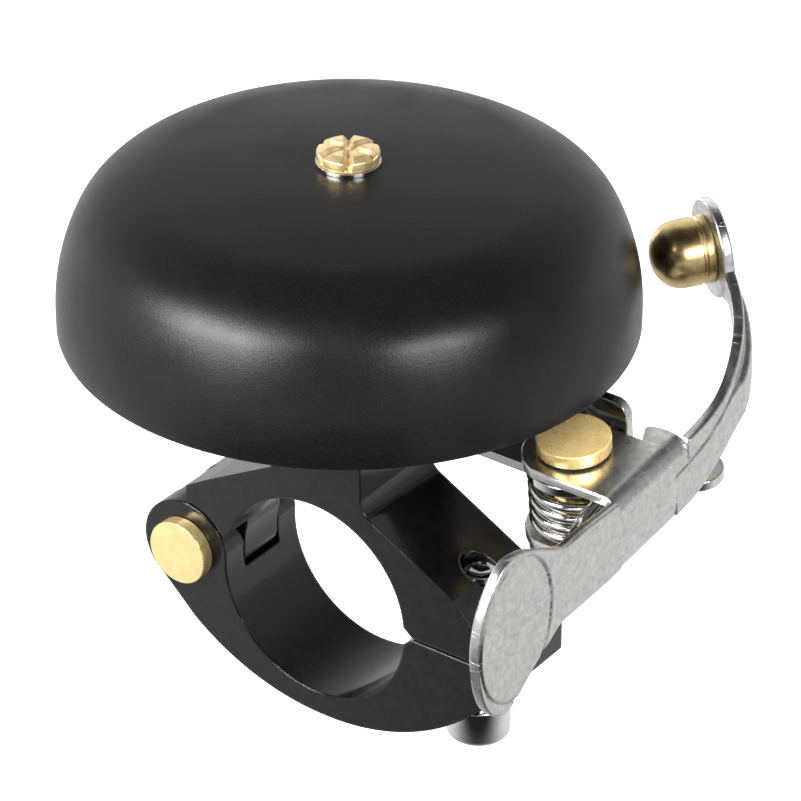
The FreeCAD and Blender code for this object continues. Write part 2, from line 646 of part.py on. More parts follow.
def make_lever():
    """The striker lever: a bent channel round the pin, thumb paddle, arm and end disc."""
    sheet_t, bend, web = S["sheet"], S["channel_bend"], S["web_u"]
    inner = bend - sheet_t
    deep = S["channel"]
    reach = S["flange_radius"]
    channel = body("lever_channel")
    drawing = outline(sketch_on(channel, "XZ_Plane"), [
        (-reach * 2, 0), (-reach * 2, -sheet_t), (web - bend, -sheet_t, inner, -1),
        (web - sheet_t, -bend), (web - sheet_t, bend - deep, inner, -1),
        (web - bend, sheet_t - deep), (-reach * 2, sheet_t - deep), (-reach * 2, -deep),
        (web - bend, -deep, bend, 1), (web, bend - deep), (web, -bend, bend, 1),
        (web - bend, 0),
    ])
    pad(channel, drawing, reach * 4, symmetric=True)
    plan = body("lever_plan")
    edge = reach - 0.25
    start_u = root(reach * reach - edge * edge)
    pad(plan, outline(sketch_on(plan, "XY_Plane"), [
        (0, reach, reach, 1), (-reach, 0, reach, 1), (-start_u, -edge),
        (web + 1, -edge), (web + 1, edge), (start_u, edge, reach, 1),
    ]), deep * 4, symmetric=True)
    flanges = common("lever_flanges", [channel, plan])
    wing_plan = body("lever_wing_plan")
    wing_v = S["wing_v"]
    pad(wing_plan, outline(sketch_on(wing_plan, "XY_Plane", -bend), [
        (4.4, edge - 0.5), (web + 1, edge - 0.5), (web + 1, wing_v), (5.0, wing_v),
        (3.6, wing_v - 0.6), (4.4, edge + 0.3),
    ]), bend * 2)
    wing = common("lever_wing", [channel, wing_plan])
    strip = body("lever_strip")
    radius = S["arm_radius"]
    pad(strip, outline(sketch_on(strip, "XY_Plane"), [
        (web, S["paddle_v"]), (web, S["arm_start"], radius, 1), arm_point(size(0), size(0)),
        arm_point(size(0), S["disc_radius"]), arm_point(sheet_t, S["disc_radius"]),
        arm_point(sheet_t, size(0)) + (radius - sheet_t, -1),
        (web - sheet_t, S["arm_start"]), (web - sheet_t, S["paddle_v"]),
    ]), deep * 4, symmetric=True)
    side = body("lever_side")
    mid = S["disc_w"]
    bend_v = arm_point(size(0), size(0))[1]
    pad(side, outline(sketch_on(side, "YZ_Plane"), [
        (S["paddle_v"], 0.6), (S["paddle_v"] / 2, 0.6), (-edge, -0.1), (-edge, -bend),
        (wing_v, -bend), (wing_v, -0.3, S["arm_sweep"], 1), (bend_v - 0.8, mid - 0.2),
        (bend_v + 4.0, mid + 2.6),
        (bend_v + 4.0, mid - 2.6), (bend_v, mid - 3.2, S["arm_sweep"] + 8.0, -1),
        (edge + 1.0, bend - deep), (-edge, bend - deep), (-edge, 1.2 - deep),
        (S["paddle_v"] / 2, 1.9 - deep), (S["paddle_v"], 1.9 - deep),
    ]), 80, symmetric=True)
    ribbon = common("lever_ribbon", [strip, side])
    oval = doc.addObject("Part::Ellipse", "paddle_oval")
    bind(oval, "MajorRadius", S["paddle_long"])
    bind(oval, "MinorRadius", S["paddle_short"])
    stand = FreeCAD.Rotation(FreeCAD.Vector(0, 1, 0), -90)
    lean = FreeCAD.Rotation(FreeCAD.Vector(1, 0, 0), S["paddle_lean"].value)
    oval.Placement.Rotation = lean.multiply(stand)
    place(oval, web, S["paddle_v"], S["paddle_w"])
    paddle = doc.addObject("Part::Extrusion", "lever_paddle")
    paddle.Base = oval
    paddle.Dir = FreeCAD.Vector(-1, 0, 0)
    bind(paddle, "LengthFwd", sheet_t)
    paddle.Solid = True
    disc = rod("lever_disc", S["disc_radius"], sheet_t, 0, 0, 0)
    disc_u, disc_v = arm_point(size(0), S["disc_radius"])
    turn = S["arm_turn"]
    disc.Placement.Rotation = FreeCAD.Rotation(
        FreeCAD.Vector(0, 0, 1), turn.value).multiply(
        FreeCAD.Rotation(FreeCAD.Vector(0, 1, 0), -90))
    place(disc, disc_u, disc_v, mid)
    joined = fuse("lever_joined", [flanges, wing, ribbon, paddle, disc])
    rivet_hole = rod("lever_rivet_hole", S["rivet_radius"] + 0.02, 8, 0, 0, 0)
    rivet_hole.Placement.Rotation = disc.Placement.Rotation
    place(rivet_hole, disc_u + 3 * cos(turn), disc_v + 3 * sin(turn), mid)
    pin_hole = rod("lever_pin_hole", S["lever_pin_radius"] + S["run_gap"], 30, 0, 0, -15)
    lever = cut("striker_lever", joined, fuse("lever_holes", [pin_hole, rivet_hole]))
    return node(at_pivot(lever), "striker_lever")


make_lever()


def make_hammer():
    """The brass hammer on the disc's inner side, and the rivet that holds it."""
    radius, length, inner = S["hammer_radius"], S["hammer_length"], S["sheet"] + 0.02
    nose = S["nose_radius"]
    tail = S["rivet_radius"]
    end = inner + length
    hammer = turned("striker_hammer", [
        (tail + 0.02, inner), (radius, inner), (radius, inner + 0.9), (radius - 0.25, inner + 1.0),
        (radius - 0.25, inner + 1.15), (radius, inner + 1.25),
        (radius, end - nose * 0.75, nose * 1.05, 1), (radius * 0.42, end - 0.12),
        (0, end), (0, inner + 2.6), (tail + 0.02, inner + 2.6),
    ])
    node(at_hammer(hammer), "striker_hammer")
    rivet = turned("hammer_rivet", [
        (0, inner + 2.5), (0, -0.75), (S["rivet_head"] - 0.5, -0.75),
        (S["rivet_head"], -0.35), (S["rivet_head"], -0.02), (tail, -0.02),
        (tail, inner + 2.5),
    ][::-1])
    node(at_hammer(rivet), "hammer_rivet")


make_hammer()


def make_pivot_hardware():
    """What sits on the lever pin: head, washer, bush, spring and retaining ring."""
    radius, head = S["lever_pin_radius"], S["lever_head_radius"]
    low = S["washer_height"] + 0.04
    tail = leg_under - S["clip_height"] - 0.5
    pin = turned("lever_pin", [
        (0, tail), (radius - 0.3, tail), (radius, tail + 0.3), (radius, low), (head, low),
        (head, low + S["lever_head_height"] - 0.15),
        (head - 0.15, low + S["lever_head_height"]), (0, low + S["lever_head_height"]),
    ])
    node(at_pivot(pin), "lever_pin")
    bore = radius + S["run_gap"]
    washer = tube("pin_washer", bore, S["washer_radius"], 0.02, S["washer_height"] + 0.02)
    node(at_pivot(washer), "pin_washer")
    bush = tube("spring_bush", bore, S["bush_radius"], lower_top + 0.05, plate_under - 0.02)
    node(at_pivot(bush), "spring_bush")
    clip = body("pin_clip")
    drawing = sketch_on(clip, "XY_Plane", leg_under - 0.03 - S["clip_height"])
    ring(drawing, 0, 0, S["clip_radius"])
    ring(drawing, 0, 0, bore)
    pad(clip, drawing, S["clip_height"])
    node(at_pivot(clip), "pin_clip")


make_pivot_hardware()


def make_spring():
    """A coil of round wire about the pin. One leg presses on the web, one turns back."""
    coil, wire = S["coil_radius"].value, S["wire_radius"].value
    low = lower_top.value + wire + 0.06
    high = plate_under.value - wire - 0.06
    helix = Part.makeHelix((high - low) / S["coil_turns"].value, high - low, coil, 0, True)
    helix.translate(FreeCAD.Vector(0, 0, low))
    start = FreeCAD.Vector(coil, 0, low)
    round_wire = Part.Wire(Part.makeCircle(wire, start, FreeCAD.Vector(0, 1, 0)))
    turns = Part.Wire(helix.Edges).makePipeShell([round_wire], True, True)
    top = FreeCAD.Vector(coil, 0.2, high)
    rest = FreeCAD.Vector(S["web_u"].value - S["sheet"].value - wire - 0.1,
                          -S["leg_reach"].value, -S["leg_drop"].value)
    legs = [
        Part.makeCylinder(wire, (rest - top).Length, top, rest - top),
        Part.makeCylinder(wire, S["leg_stub"].value, start, FreeCAD.Vector(0, 1, 0)),
    ]
    spring = doc.addObject("Part::Feature", "torsion_spring")
    spring.Shape = Part.Solid(turns) if not turns.Solids else turns.Solids[0]
    spring.Shape = spring.Shape.fuse(legs)
    node(at_pivot(spring), "torsion_spring")


make_spring()

doc.recompute()
for thing in doc.Objects:
    if "Invalid" in thing.State or "Error" in thing.State:
        raise ValueError("%s failed to build: %s" % (thing.Label, thing.State))
os.makedirs("parts", exist_ok=True)
for thing in NODES:
    shape = thing.Shape
    if shape.isNull() or not shape.isValid() or not shape.Solids:
        raise ValueError("%s has no sound shape" % thing.Label)
for thing in NODES:
    thing.Shape.exportStep(os.path.join("parts", thing.Label + ".step"))
    print("%-16s %2d solid(s) %9.2f mm3" % (thing.Label, len(thing.Shape.Solids),
                                            thing.Shape.Volume))
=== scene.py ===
import json
import math
import bpy
from mathutils import Matrix, Vector


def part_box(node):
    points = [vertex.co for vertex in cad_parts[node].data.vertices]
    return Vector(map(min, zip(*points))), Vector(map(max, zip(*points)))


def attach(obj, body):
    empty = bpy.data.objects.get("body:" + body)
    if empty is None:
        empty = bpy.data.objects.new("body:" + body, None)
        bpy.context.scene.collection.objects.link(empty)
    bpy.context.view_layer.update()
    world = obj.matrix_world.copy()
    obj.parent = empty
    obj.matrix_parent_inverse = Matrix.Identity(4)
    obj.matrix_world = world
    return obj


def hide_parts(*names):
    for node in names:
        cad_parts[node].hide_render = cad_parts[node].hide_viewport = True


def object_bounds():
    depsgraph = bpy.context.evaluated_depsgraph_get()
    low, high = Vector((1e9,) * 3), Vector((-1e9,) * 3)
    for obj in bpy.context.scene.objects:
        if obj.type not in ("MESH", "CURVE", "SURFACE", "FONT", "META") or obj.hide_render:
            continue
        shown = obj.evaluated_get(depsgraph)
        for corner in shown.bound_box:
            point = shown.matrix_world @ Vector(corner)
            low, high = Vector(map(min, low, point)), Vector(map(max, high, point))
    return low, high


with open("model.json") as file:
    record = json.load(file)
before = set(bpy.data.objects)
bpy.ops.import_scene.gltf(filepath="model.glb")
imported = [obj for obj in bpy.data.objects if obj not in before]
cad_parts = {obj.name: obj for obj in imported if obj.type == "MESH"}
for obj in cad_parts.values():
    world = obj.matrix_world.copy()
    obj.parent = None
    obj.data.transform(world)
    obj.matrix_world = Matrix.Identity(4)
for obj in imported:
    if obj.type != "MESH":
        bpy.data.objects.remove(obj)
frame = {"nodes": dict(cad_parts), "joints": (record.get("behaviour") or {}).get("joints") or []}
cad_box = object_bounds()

MM = 0.001
nodes = frame["nodes"]

# The pivot's frame: its origin is the top of the lever's upper flange on the pin's axis.
pivot_joint = [j for j in frame["joints"] if j["name"] == "lever_pivot"][0]
LEAN = math.acos(pivot_joint["axis"][2])
PIVOT = Matrix.Translation(Vector(pivot_joint["pos_m"])) @ Matrix.Rotation(LEAN, 4, "X")
DOME_X = sum(c[0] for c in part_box("dome")) / 2
RIM_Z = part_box("dome")[0].z


# ---------------------------------------------------------------- node helpers
def new_material(name):
    """A material, its node tree and its principled shader."""
    material = bpy.data.materials.new(name)
    material.use_nodes = True
    tree = material.node_tree
    return material, tree, tree.nodes["Principled BSDF"]


def add(tree, kind, **values):
    """Adds a node, setting its properties, or its inputs where a key names one."""
    made = tree.nodes.new(kind)
    for key, value in values.items():
        if key in made.inputs:
            made.inputs[key].default_value = value
        else:
            setattr(made, key, value)
    return made


def noise(tree, scale, detail=4.0, rough=0.55, stretch=None):
    """Noise over the object's own coordinates, scale in cells per metre."""
    place = add(tree, "ShaderNodeTexCoord")
    mapping = add(tree, "ShaderNodeMapping")
    if stretch:
        mapping.inputs["Scale"].default_value = stretch
    made = add(tree, "ShaderNodeTexNoise", Scale=scale, Detail=detail, Roughness=rough)
    tree.links.new(place.outputs["Object"], mapping.inputs["Vector"])
    tree.links.new(mapping.outputs["Vector"], made.inputs["Vector"])
    return made.outputs["Fac"]


def ramp(tree, source, stops):
    """A colour ramp: stops are (position, grey or rgb)."""
    made = add(tree, "ShaderNodeValToRGB")
    elements = made.color_ramp.elements
    while len(elements) < len(stops):
        elements.new(0.5)
    for element, (position, colour) in zip(elements, stops):
        element.position = position
        rgb = (colour,) * 3 if isinstance(colour, (int, float)) else colour
        element.color = (*rgb, 1)
    tree.links.new(source, made.inputs["Fac"])
    return made.outputs["Color"]


def bump(tree, bsdf, height, distance, edge=0.0):
    """Raises the surface by height, over edges rounded in the shader where edge is given."""
    made = add(tree, "ShaderNodeBump", Strength=1.0, Distance=distance)
    tree.links.new(height, made.inputs["Height"])
    if edge:
        corner = add(tree, "ShaderNodeBevel", samples=6, Radius=edge)
        tree.links.new(corner.outputs["Normal"], made.inputs["Normal"])
    tree.links.new(made.outputs["Normal"], bsdf.inputs["Normal"])


# ---------------------------------------------------------------- materials
# Less than 1, so that the pins still read as gold in the dome's shade.
BRASS_METALLIC = 0.6


def paint(name, colour, rough, grain, grain_height, edge=0.0, spread=0.05, level=0.5):
    """Black paint or plastic, with a fine grain and a slow change in gloss."""
    material, tree, bsdf = new_material(name)
    fine = noise(tree, grain, 3.0, 0.6)
    slow = noise(tree, 160, 3.0)
    tree.links.new(ramp(tree, fine, [(0.35, [c * 0.7 for c in colour]),
                                     (0.68, [c * 1.35 for c in colour])]),
                   bsdf.inputs["Base Color"])
    tree.links.new(ramp(tree, slow, [(0.3, rough - spread), (0.7, rough + spread)]),
                   bsdf.inputs["Roughness"])
    bsdf.inputs["Specular IOR Level"].default_value = level
    bump(tree, bsdf, fine, grain_height, edge=edge)
    return material


def metal(name, dark, light, rough, cells, height, edge=0.0, spread=0.08, spots=None,
          scratches=None):
    """Bare metal: mottled between two colours, with a fine bump and uneven polish.

    spots is (cells, threshold, colour) of darker patches. scratches stretches their noise.
    """
    material, tree, bsdf = new_material(name)
    bsdf.inputs["Metallic"].default_value = 1.0
    mottle = noise(tree, cells, 6.0, 0.65)
    colour = ramp(tree, mottle, [(0.3, dark), (0.7, light)])
    if spots:
        patch = noise(tree, spots[0], 5.0, 0.6)
        mask = ramp(tree, patch, [(spots[1], 0.0), (spots[1] + 0.12, 1.0)])
        mix = add(tree, "ShaderNodeMix", data_type="RGBA")
        tree.links.new(mask, mix.inputs[0])
        tree.links.new(colour, mix.inputs[6])
        mix.inputs[7].default_value = (*spots[2], 1)
        colour = mix.outputs[2]
    tree.links.new(colour, bsdf.inputs["Base Color"])
    slow = noise(tree, cells * 0.3, 4.0, 0.6)
    tree.links.new(ramp(tree, slow, [(0.3, max(rough - spread, 0.03)), (0.7, rough + spread)]),
                   bsdf.inputs["Roughness"])
    relief = mottle
    if scratches:
        # Thin lines cut into the mottle, where a stretched noise crosses one level.
        streaks = noise(tree, 260, 2.0, 0.5, scratches)
        lines = ramp(tree, streaks, [(0.60, 0.0), (0.63, 1.0), (0.66, 0.0)])
        less = add(tree, "ShaderNodeMath", operation="SUBTRACT")
        tree.links.new(mottle, less.inputs[0])
        tree.links.new(lines, less.inputs[1])
        relief = less.outputs[0]
    bump(tree, bsdf, relief, height, edge=edge)
    return material


def turned_brass(name, centre, axis_matrix, rough, light, dark):
    """Brass with the faint rings a lathe tool leaves round the axis."""
    material, tree, bsdf = new_material(name)
    bsdf.inputs["Metallic"].default_value = BRASS_METALLIC
    place = add(tree, "ShaderNodeTexCoord")
    mapping = add(tree, "ShaderNodeMapping", vector_type="POINT")
    inverse = (Matrix.Translation(centre) @ axis_matrix).inverted()
    mapping.inputs["Location"].default_value = inverse.to_translation()
    mapping.inputs["Rotation"].default_value = inverse.to_euler()
    rings = add(tree, "ShaderNodeTexWave", Scale=900.0, Distortion=1.2, Detail=3.0)
    rings.wave_type = "RINGS"
    rings.rings_direction = "Z"
    rings.inputs["Detail Scale"].default_value = 1.4
    tree.links.new(place.outputs["Object"], mapping.inputs["Vector"])
    tree.links.new(mapping.outputs["Vector"], rings.inputs["Vector"])
    mottle = noise(tree, 900, 5.0, 0.6)
    tree.links.new(ramp(tree, mottle, [(0.3, dark), (0.7, light)]), bsdf.inputs["Base Color"])
    tree.links.new(ramp(tree, mottle, [(0.3, rough - 0.05), (0.7, rough + 0.07)]),
                   bsdf.inputs["Roughness"])
    bump(tree, bsdf, rings.outputs["Fac"], 0.004 * MM)
    return material


BLACK_SATIN = paint("satin_black_paint", (0.006, 0.006, 0.0065), 0.35, 5200, 0.014 * MM,
                    level=0.34)
BLACK_GLOSS = paint("gloss_black_enamel", (0.006, 0.006, 0.0065), 0.13, 900, 0.004 * MM,
                    edge=0.35 * MM, spread=0.04)
STEEL = metal("tumbled_steel", (0.50, 0.50, 0.50), (0.74, 0.74, 0.73), 0.31, 1700,
              0.010 * MM, spread=0.06, scratches=(0.5, 2.0, 14.0))
PLATE = metal("plated_bracket", (0.62, 0.62, 0.61), (0.80, 0.80, 0.79), 0.14, 1400,
              0.003 * MM, edge=0.25 * MM)
CHROME = metal("chrome_screw", (0.70, 0.70, 0.70), (0.84, 0.84, 0.84), 0.10, 900,
               0.002 * MM, spread=0.04)
ZINC = metal("zinc_fixings", (0.55, 0.55, 0.54), (0.75, 0.75, 0.74), 0.22, 1200,
             0.004 * MM, edge=0.15 * MM)
WIRE = metal("spring_wire", (0.60, 0.59, 0.57), (0.84, 0.83, 0.80), 0.15, 1500,
             0.004 * MM, spread=0.06)
AGED = metal("aged_brass", (0.46, 0.33, 0.14), (0.74, 0.58, 0.29), 0.30, 520, 0.010 * MM,
             spots=(300, 0.62, (0.14, 0.09, 0.04)))
BUSH = metal("bush_brass", (0.52, 0.37, 0.15), (0.70, 0.53, 0.25), 0.22, 800, 0.004 * MM)
RUBBER = paint("black_nylon", (0.012, 0.012, 0.012), 0.6, 2500, 0.01 * MM)


# ---------------------------------------------------------------- mesh helpers
def piece(name, verts, faces, material, body, matrix, stands_for, angle=35):
    """A mesh in millimetres, placed by matrix, that rides on a body and replaces CAD nodes."""
    mesh = bpy.data.meshes.new(name)
    mesh.from_pydata([Vector(v) * MM for v in verts], [], faces)
    mesh.validate()
    mesh.transform(matrix)
    made = bpy.data.objects.new(name, mesh)
    bpy.context.scene.collection.objects.link(made)
    mesh.materials.append(material)
    mesh.shade_smooth()
    mesh.set_sharp_from_angle(angle=math.radians(angle))
    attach(made, body)
    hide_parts(*stands_for)


def lathe(points, segments=96, wobble=None):
    """Vertices and faces of points (radius, height) turned about Z. Radius 0 closes it."""
    verts, faces, rows = [], [], []
    for r, z in points:
        if r < 1e-6:
            rows.append([len(verts)] * segments)
            verts.append((0, 0, z))
            continue
        row = []
        for k in range(segments):
            a = 2 * math.pi * k / segments
            rr, zz = (r, z) if wobble is None else wobble(r, z, a)
            row.append(len(verts))
            verts.append((rr * math.cos(a), rr * math.sin(a), zz))
        rows.append(row)
    for one, two in zip(rows, rows[1:]):
        for k in range(segments):
            n = (k + 1) % segments
            quad = []
            for index in (one[k], one[n], two[n], two[k]):
                if index not in quad:
                    quad.append(index)
            if len(quad) > 2:
                faces.append(quad)
    return verts, faces


def rounded(corners, steps=5):
    """Rounds the corners of an open outline: each is (x, y) or (x, y, radius)."""
    made = []
    for i, corner in enumerate(corners):
        p = Vector(corner[:2])
        if len(corner) < 3 or i in (0, len(corners) - 1):
            made.append(tuple(p))
            continue
        before = Vector(corners[i - 1][:2]) - p
        after = Vector(corners[i + 1][:2]) - p
        half = before.angle(after) / 2
        back = min(corner[2] / math.tan(half), before.length * 0.49, after.length * 0.49)
        a, b = p + before.normalized() * back, p + after.normalized() * back
        for k in range(steps + 1):
            t = k / steps
            made.append(tuple(a * (1 - t) ** 2 + p * 2 * t * (1 - t) + b * t * t))
    return made


def arc(cx, cy, radius, start, end, steps):
    """Points of an arc from the angle start to end, in degrees."""
    turns = [math.radians(start + (end - start) * k / steps) for k in range(steps + 1)]
    return [(cx + radius * math.cos(turn), cy + radius * math.sin(turn)) for turn in turns]


def at(x, y, z, rotation=None):
    """A place in millimetres, after a rotation."""
    place = Matrix.Translation(Vector((x, y, z)) * MM)
    return place @ rotation if rotation is not None else place


# ---------------------------------------------------------------- the dome
# Millimetres. The flank, bend and crown are arcs that end at these degrees from the rim up.
RIM_R, SKIRT, DOME_WALL = 28.25, 2.1, 2.0
FLANK_R, BEND_R, CROWN_R = 19.8, 7.6, 14.0
FLANK_TURN, BEND_TURN, CROWN_TURN, CAP_TURN = 26, 62, 83, 89.2


def dome_profile(inset):
    """Half outline of the dome from the rim up, at a depth of inset."""
    flank, bend, crown = (math.radians(turn) for turn in (FLANK_TURN, BEND_TURN, CROWN_TURN))
    x, z = RIM_R - FLANK_R, SKIRT
    corners = arc(x, z, FLANK_R - inset, 0, FLANK_TURN, 14)
    x += (FLANK_R - BEND_R) * math.cos(flank)
    z += (FLANK_R - BEND_R) * math.sin(flank)
    corners += arc(x, z, BEND_R - inset, FLANK_TURN, BEND_TURN, 18)[1:]
    x += (BEND_R - CROWN_R) * math.cos(bend)
    z += (BEND_R - CROWN_R) * math.sin(bend)
    corners += arc(x, z, CROWN_R - inset, BEND_TURN, CROWN_TURN, 10)[1:]
    # The cap's centre lies on the dome's axis.
    cap = (x + CROWN_R * math.cos(crown)) / math.cos(crown)
    z += (CROWN_R - cap) * math.sin(crown)
    corners += arc(0, z, cap - inset, CROWN_TURN, CAP_TURN, 16)[1:]
    return corners


def make_dome():
    """The dome, with its rolled rim."""
    outside = dome_profile(0.0)
    inside = dome_profile(DOME_WALL)[::-1]
    edge = [(RIM_R - DOME_WALL, 0.45), (RIM_R - 1.85, 0.12), (RIM_R - 1.5, 0.0),
            (RIM_R - 0.45, 0.0), (RIM_R - 0.13, 0.12), (RIM_R, 0.45)]
    verts, faces = lathe(edge + outside + inside + edge[:1], 256)
    piece("bell_dome", verts, faces, BLACK_SATIN, "frame",
          at(DOME_X / MM, 0, RIM_Z / MM), ["dome"])


make_dome()


# ---------------------------------------------------------------- crown nut
def make_crown_nut():
    """A flower nut: six petals between V grooves, with a dimple in the middle."""
    low, high = (c.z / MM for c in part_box("crown_nut"))
    radius = (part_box("crown_nut")[1].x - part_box("crown_nut")[0].x) / 2 / MM
    first_groove = math.radians(-54)
    half_width, depth, foot = 0.52, 0.60, 0.25

    def petals(r, z, a):
        turn = (a - first_groove + math.pi / 6) % (math.pi / 3) - math.pi / 6
        groove = max(0.0, 1 - abs(r * math.sin(turn)) / half_width)
        if z < low + foot:
            return r, z
        rim = 1 - 0.10 * groove * (r / radius) ** 2
        return r * rim, z - depth * groove * min(1.0, r / 1.1) * ((z - low) / (high - low))

    height = high - low
    corners = rounded([(radius * 0.86, low), (radius * 0.97, low, 0.1),
                       (radius * 0.97, low + 0.3, 0.1), (radius, low + 0.45, 0.15),
                       (radius, high - 0.45, 0.35), (radius * 0.72, high - 0.05, 0.5),
                       (0.9, high, 0.2), (0.55, high - height * 0.2, 0.2),
                       (0, high - height * 0.24)])
    dense = []
    for a, b in zip(corners, corners[1:]):
        count = max(1, int((Vector(a) - Vector(b)).length / 0.16))
        dense += [tuple(Vector(a).lerp(Vector(b), k / count)) for k in range(count)]
    dense.append(corners[-1])
    verts, faces = lathe(dense, 288, petals)
    brass = turned_brass("crown_brass", Vector((DOME_X, 0, 0)), Matrix.Identity(4), 0.3,
                         (0.86, 0.68, 0.38), (0.62, 0.44, 0.19))
    piece("flower_nut", verts, faces, brass, "frame", at(DOME_X / MM, 0, 0), ["crown_nut"],
          angle=50)


make_crown_nut()


# ---------------------------------------------------------------- pins and screw
def make_hinge_pin():
    """A pin along Y with a flat head on the side towards -Y."""
    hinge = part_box("hinge_pin")
    x = (hinge[0].x + hinge[1].x) / 2 / MM
    half, shank, head, height = 5.8, 1.58, 3.46, 1.5
    lay = Matrix.Rotation(math.radians(90), 4, "X")
    outline = rounded([(0, half + height), (head, half + height, 0.14),
                       (head, half + 0.05, 0.1), (shank, half + 0.02),
                       (shank, -half - 0.28, 0.25), (0, -half - 0.3)])
    verts, faces = lathe(outline[::-1])
    brass = turned_brass("hinge_brass", Vector((x, 0, 0)) * MM, lay, 0.26,
                         (0.95, 0.76, 0.38), (0.86, 0.66, 0.29))
    piece("hinge_pin_headed", verts, faces, brass, "lower_half", at(x, 0, 0, lay),
          ["hinge_pin"])


def make_lever_pin():
    """The leaning pivot pin, down to its retaining ring."""
    low, height, head, shank, foot = 0.29, 1.35, 3.6, 2.0, -12.0
    outline = rounded([(0, low + height), (head, low + height, 0.14), (head, low, 0.12),
                       (shank, low), (shank, foot, 0.3), (0, foot)])
    verts, faces = lathe(outline[::-1])
    brass = turned_brass("lever_pin_brass", PIVOT.to_translation(),
                         Matrix.Rotation(LEAN, 4, "X"), 0.26,
                         (0.90, 0.68, 0.30), (0.80, 0.57, 0.22))
    piece("lever_pin_headed", verts, faces, brass, "frame", PIVOT, ["lever_pin"])


def make_clamp_screw():
    """A socket head screw, head down, with a turned thread."""
    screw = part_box("clamp_screw")
    x = (screw[0].x + screw[1].x) / 2 / MM
    low, top = screw[0].z / MM, screw[1].z / MM
    seat = low + 4.0
    crest, valley, pitch = 1.93, 1.62, 0.7
    head = rounded([(0, low + 2.2), (1.7, low + 2.2), (1.75, low + 0.15, 0.1), (2.0, low),
                    (3.2, low, 0.5), (3.2, seat, 0.25), (1.95, seat)])
    thread = []
    z = seat + 0.3
    while z < top - 0.9:
        thread += [(crest, z), (crest, z + 0.08), (valley, z + 0.34), (valley, z + 0.42)]
        z += pitch
    tip = rounded([(crest, top - 0.5), (1.6, top - 0.1, 0.2), (1.0, top - 0.05, 0.1),
                   (0, top - 0.35)])
    verts, faces = lathe(head + thread + tip)
    piece("socket_screw", verts, faces, CHROME, "screw", at(x, 0, 0), ["clamp_screw"])


make_hinge_pin()
make_lever_pin()
make_clamp_screw()


# ---------------------------------------------------------------- striker lever
# Millimetres in the pivot's frame: u outwards, v to the back, w up the pin.
SHEET, WEB_U, DEEP, BEND, LOW_BEND = 1.1, 8.3, 9.6, 2.0, 3.3
CHANNEL_EDGE, FLANGE_R = 4.75, 5.0
ARM_START, ARM_R, ARM_TURN = 12.3, 16.1, math.radians(51.2)
ARC_END = ARM_START + ARM_R * ARM_TURN
DISC_S, DISC_W, DISC_R = ARC_END + 5.0, 6.4, 5.0
WING_END = 7.2


def smooth(t):
    """An even step from 0 to 1."""
    t = min(1.0, max(0.0, t))
    return t * t * (3 - 2 * t)


def along(table, x):
    """Reads a smooth curve through a table of (x, y)."""
    if x <= table[0][0]:
        return table[0][1]
    for i in range(len(table) - 1):
        x0, y0 = table[i]
        x1, y1 = table[i + 1]
        if x <= x1:
            before = table[i - 1] if i else (2 * x0 - x1, y0)
            after = table[i + 2] if i + 2 < len(table) else (2 * x1 - x0, y1)
            m0 = (y1 - before[1]) / (x1 - before[0])
            m1 = (after[1] - y0) / (after[0] - x0)
            t, w = (x - x0) / (x1 - x0), x1 - x0
            return ((2 * t**3 - 3 * t**2 + 1) * y0 + (t**3 - 2 * t**2 + t) * w * m0
                    + (3 * t**2 - 2 * t**3) * y1 + (t**3 - t**2) * w * m1)
    return table[-1][1]


def plan(s):
    """A point (u, v) on the lever's outer face, s along it, and its outward normal."""
    if s <= ARM_START:
        return (WEB_U, s), (1.0, 0.0)
    turn = min((s - ARM_START) / ARM_R, ARM_TURN)
    past = max(s - ARC_END, 0.0)
    u = WEB_U - ARM_R + ARM_R * math.cos(turn) - past * math.sin(turn)
    v = ARM_START + ARM_R * math.sin(turn) + past * math.cos(turn)
    return (u, v), (math.cos(turn), math.sin(turn))


# The paddle: a leaning oval to the left of PADDLE_V, and shoulders that run to the web.
PADDLE_V, PADDLE_END = -22.2, -27.65
OVAL_V, OVAL_W, OVAL_HALF, OVAL_TALL, OVAL_SLOPE = -22.9, -3.3, 4.76, 8.0, 0.35
PADDLE_TOP = [(-22.2, 4.86), (-20.4, 4.4), (-18.3, 3.4), (-15.9, 1.9), (-13.8, 0.8),
              (-10.0, 0.5), (-5.9, 0.0), (-4.75, -0.1)]
PADDLE_LOW = [(-22.2, -10.97), (-20.8, -10.2), (-18.5, -8.9), (-16.6, -8.1), (-15.0, -7.4),
              (-12.0, -7.5), (-6.7, -7.75), (-4.75, -7.7)]


def paddle_span(v):
    """Lowest and highest w of the paddle at v."""
    if v > PADDLE_V:
        return along(PADDLE_LOW, v), along(PADDLE_TOP, v)
    x = v - OVAL_V
    half = OVAL_TALL * math.sqrt(max(1 - (x / OVAL_HALF) ** 2, 0.0))
    mid = OVAL_W + OVAL_SLOPE * x
    return mid - half, mid + half


# The arm's edges and its rib: (v, w) points behind the channel.
TOP_EDGE = [(4.75, -0.15), (8.3, -0.2), (12.0, 0.35), (14.8, 1.5), (17.4, 3.0), (19.8, 4.3),
            (22.5, 5.4), (25.0, 6.9), (26.5, 8.3)]
LOW_EDGE = [(4.75, -7.7), (8.6, -7.3), (12.6, -5.7), (16.2, -3.9), (20.0, -1.4), (23.0, 0.9),
            (25.0, 2.2), (26.5, 3.4)]
RIB = [(2.4, -3.1), (7.3, -2.7), (10.1, -2.2), (12.4, -1.2), (15.0, 0.1), (18.0, 1.1),
       (22.0, 2.6), (26.0, 4.6)]
GROOVE, GROOVE_WIDTH, ARM_SWELL = 0.22, 0.22, 0.7
